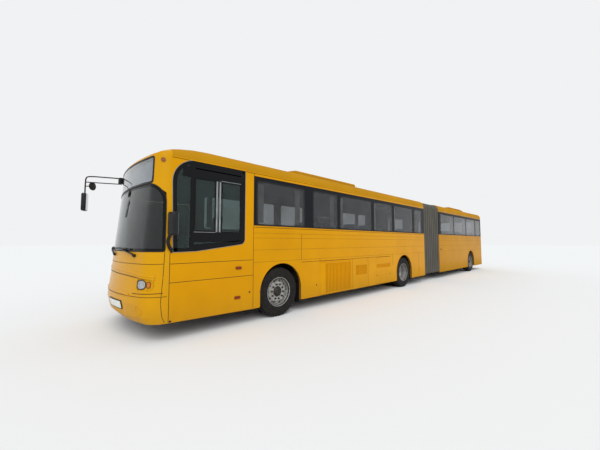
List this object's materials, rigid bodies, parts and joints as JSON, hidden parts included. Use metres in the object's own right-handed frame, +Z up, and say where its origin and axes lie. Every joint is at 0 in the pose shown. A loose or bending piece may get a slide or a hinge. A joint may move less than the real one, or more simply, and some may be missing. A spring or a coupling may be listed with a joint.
{
  "type": "articulated bus",
  "caption": "High-floor articulated city bus: front section with mid engine, turntable with pleated bellows, rear section on a trailing axle, swinging plug doors on the right",
  "frame": {"origin": "on the road under the middle of the box round the whole bus", "axes": "X forward, Y to the bus's left, Z up"},
  "size_m": [18.4651, 2.843, 3.3899],
  "materials": {
    "side_paint": "yellow-orange body paint, satin with age",
    "nose_paint": "yellow-orange body paint, glossier at the front",
    "roof_paint": "yellow body paint, dull and weathered on the roof",
    "glass": "tinted safety glass",
    "bellows_fabric": "coated grey bellows fabric",
    "frame_steel": "black chassis paint",
    "floor_sheet": "dark grey floor covering and black sheet",
    "seat_cloth": "blue seat cloth",
    "black_plastic": "black moulded plastic",
    "lamp_lens": "lamp lenses",
    "tyre_rubber": "black rubber tyre on a silver grey steel wheel",
    "cast_parts": "cast and forged axle parts",
    "engine": "plain block in the place of the engine",
    "post_steel": "steel door posts"
  },
  "bodies": {
    "front_section": {"front_chassis": "frame_steel", "front_floor": "floor_sheet", "front_wheel_boxes": "floor_sheet", "front_step_wells": "floor_sheet", "front_left_wall": "side_paint", "front_right_wall": "side_paint", "front_roof": "roof_paint", "nose_shell": "nose_paint", "front_bumper": "nose_paint", "windscreen": "glass", "sign_glass": "glass", "driver_window": "glass", "front_side_glass": "glass", "bellows": "bellows_fabric", "turntable_base": "frame_steel", "front_roof_pod": "roof_paint", "front_seats": "seat_cloth", "driver_seat": "seat_cloth", "dashboard": "black_plastic", "front_lamps": "lamp_lens", "mirrors": "black_plastic", "wipers": "black_plastic", "engine_block": "engine", "front_axle": "cast_parts", "drive_axle": "cast_parts", "front_mudflaps": "black_plastic"},
    "rear_section": {"rear_chassis": "frame_steel", "rear_floor": "floor_sheet", "rear_left_wall": "side_paint", "rear_right_wall": "side_paint", "rear_roof": "roof_paint", "tail_shell": "nose_paint", "rear_glass": "glass", "turntable_ring": "frame_steel", "rear_seats": "seat_cloth", "rear_roof_pod": "roof_paint", "rear_lamps": "lamp_lens", "trailing_axle": "cast_parts"},
    "steering_wheel": {"steering_wheel": "black_plastic"},
    "left_knuckle": {"left_knuckle": "cast_parts"},
    "right_knuckle": {"right_knuckle": "cast_parts"},
    "grille_flap": {"grille_flap": "side_paint"},
    "left_lid": {"left_lid": "side_paint"},
    "right_lid": {"right_lid": "side_paint"},
    "front_hatch": {"front_hatch": "roof_paint"},
    "front_left_wheel": {"front_left_wheel": "tyre_rubber"},
    "front_right_wheel": {"front_right_wheel": "tyre_rubber"},
    "drive_left_wheels": {"drive_left_wheels": "tyre_rubber"},
    "drive_right_wheels": {"drive_right_wheels": "tyre_rubber"},
    "trailing_left_wheel": {"trailing_left_wheel": "tyre_rubber"},
    "trailing_right_wheel": {"trailing_right_wheel": "tyre_rubber"},
    "front_door_rear_post": {"front_door_rear_post": "post_steel"},
    "front_door_rear_leaf": {"front_door_rear_leaf": "side_paint"},
    "front_door_front_post": {"front_door_front_post": "post_steel"},
    "front_door_front_leaf": {"front_door_front_leaf": "side_paint"},
    "middle_door_post": {"middle_door_post": "post_steel"},
    "middle_door_leaf": {"middle_door_leaf": "side_paint"},
    "rear_door_post": {"rear_door_post": "post_steel"},
    "rear_door_leaf": {"rear_door_leaf": "side_paint"}
  },
  "joints": [
    {"name": "articulation", "type": "hinge", "parent": "front_section", "child": "rear_section", "pos_m": [-1.885, 0, 0.78], "axis": [0, 0, 1], "range_deg": [-47, 47], "deforming": ["bellows"]},
    {"name": "left_steer", "type": "hinge", "parent": "front_section", "child": "left_knuckle", "pos_m": [6.106, 1, 0.51], "axis": [0, 0, 1], "range_deg": [-45, 45]},
    {"name": "right_steer", "type": "hinge", "parent": "front_section", "child": "right_knuckle", "pos_m": [6.106, -1, 0.51], "axis": [0, 0, 1], "range_deg": [-45, 45]},
    {"name": "steering_wheel_turn", "type": "hinge", "parent": "front_section", "child": "steering_wheel", "pos_m": [7.9, 0.58, 1.64], "axis": [-0.4226, 0, 0.9063], "range_deg": [-810, 810]},
    {"name": "front_left_spin", "type": "hinge", "parent": "left_knuckle", "child": "front_left_wheel", "pos_m": [6.106, 1.105, 0.51], "axis": [0, 1, 0], "continuous": true},
    {"name": "front_right_spin", "type": "hinge", "parent": "right_knuckle", "child": "front_right_wheel", "pos_m": [6.106, -1.105, 0.51], "axis": [0, 1, 0], "continuous": true},
    {"name": "drive_left_spin", "type": "hinge", "parent": "front_section", "child": "drive_left_wheels", "pos_m": [0.56, 0.929, 0.51], "axis": [0, 1, 0], "continuous": true},
    {"name": "drive_right_spin", "type": "hinge", "parent": "front_section", "child": "drive_right_wheels", "pos_m": [0.56, -0.929, 0.51], "axis": [0, 1, 0], "continuous": true},
    {"name": "trailing_left_spin", "type": "hinge", "parent": "rear_section", "child": "trailing_left_wheel", "pos_m": [-6.98, 1.105, 0.51], "axis": [0, 1, 0], "continuous": true},
    {"name": "trailing_right_spin", "type": "hinge", "parent": "rear_section", "child": "trailing_right_wheel", "pos_m": [-6.98, -1.105, 0.51], "axis": [0, 1, 0], "continuous": true},
    {"name": "front_door_rear_turn", "type": "hinge", "parent": "front_section", "child": "front_door_rear_post", "pos_m": [7.095, -1.18, 1.4], "axis": [0, 0, -1], "range_deg": [0, 150]},
    {"name": "front_door_rear_leaf_turn", "type": "hinge", "parent": "front_door_rear_post", "child": "front_door_rear_leaf", "pos_m": [7.3805, -1.165, 1.4], "axis": [0, 0, -1], "range_deg": [-150, 0]},
    {"name": "front_door_front_turn", "type": "hinge", "parent": "front_section", "child": "front_door_front_post", "pos_m": [8.155, -1.18, 1.4], "axis": [0, 0, 1], "range_deg": [0, 150]},
    {"name": "front_door_front_leaf_turn", "type": "hinge", "parent": "front_door_front_post", "child": "front_door_front_leaf", "pos_m": [7.8695, -1.165, 1.4], "axis": [0, 0, 1], "range_deg": [-150, 0]},
    {"name": "middle_door_turn", "type": "hinge", "parent": "front_section", "child": "middle_door_post", "pos_m": [2.275, -1.18, 1.4], "axis": [0, 0, 1], "range_deg": [0, 150]},
    {"name": "middle_door_leaf_turn", "type": "hinge", "parent": "middle_door_post", "child": "middle_door_leaf", "pos_m": [1.869, -1.165, 1.4], "axis": [0, 0, 1], "range_deg": [-150, 0]},
    {"name": "rear_door_turn", "type": "hinge", "parent": "rear_section", "child": "rear_door_post", "pos_m": [-5.325, -1.18, 1.4], "axis": [0, 0, 1], "range_deg": [0, 150]},
    {"name": "rear_door_leaf_turn", "type": "hinge", "parent": "rear_door_post", "child": "rear_door_leaf", "pos_m": [-5.731, -1.165, 1.4], "axis": [0, 0, 1], "range_deg": [-150, 0]},
    {"name": "grille_flap_turn", "type": "hinge", "parent": "front_section", "child": "grille_flap", "pos_m": [4.244, 1.26, 1.073], "axis": [1, 0, 0], "range_deg": [0, 90]},
    {"name": "left_lid_turn", "type": "hinge", "parent": "front_section", "child": "left_lid", "pos_m": [1.9385, 1.26, 1.073], "axis": [1, 0, 0], "range_deg": [0, 90]},
    {"name": "right_lid_turn", "type": "hinge", "parent": "front_section", "child": "right_lid", "pos_m": [3.95, -1.26, 1.073], "axis": [-1, 0, 0], "range_deg": [0, 90]},
    {"name": "front_hatch_turn", "type": "hinge", "parent": "front_section", "child": "front_hatch", "pos_m": [2.338, 0, 3.292], "axis": [0, 1, 0], "range_deg": [0, 80]}
  ],
  "couplings": [
    {"joint": "right_steer", "follows": "left_steer", "ratio": 1},
    {"joint": "steering_wheel_turn", "follows": "left_steer", "ratio": 18},
    {"joint": "front_door_rear_leaf_turn", "follows": "front_door_rear_turn", "ratio": -1},
    {"joint": "front_door_front_leaf_turn", "follows": "front_door_front_turn", "ratio": -1},
    {"joint": "middle_door_leaf_turn", "follows": "middle_door_turn", "ratio": -1},
    {"joint": "rear_door_leaf_turn", "follows": "rear_door_turn", "ratio": -1}
  ]
}
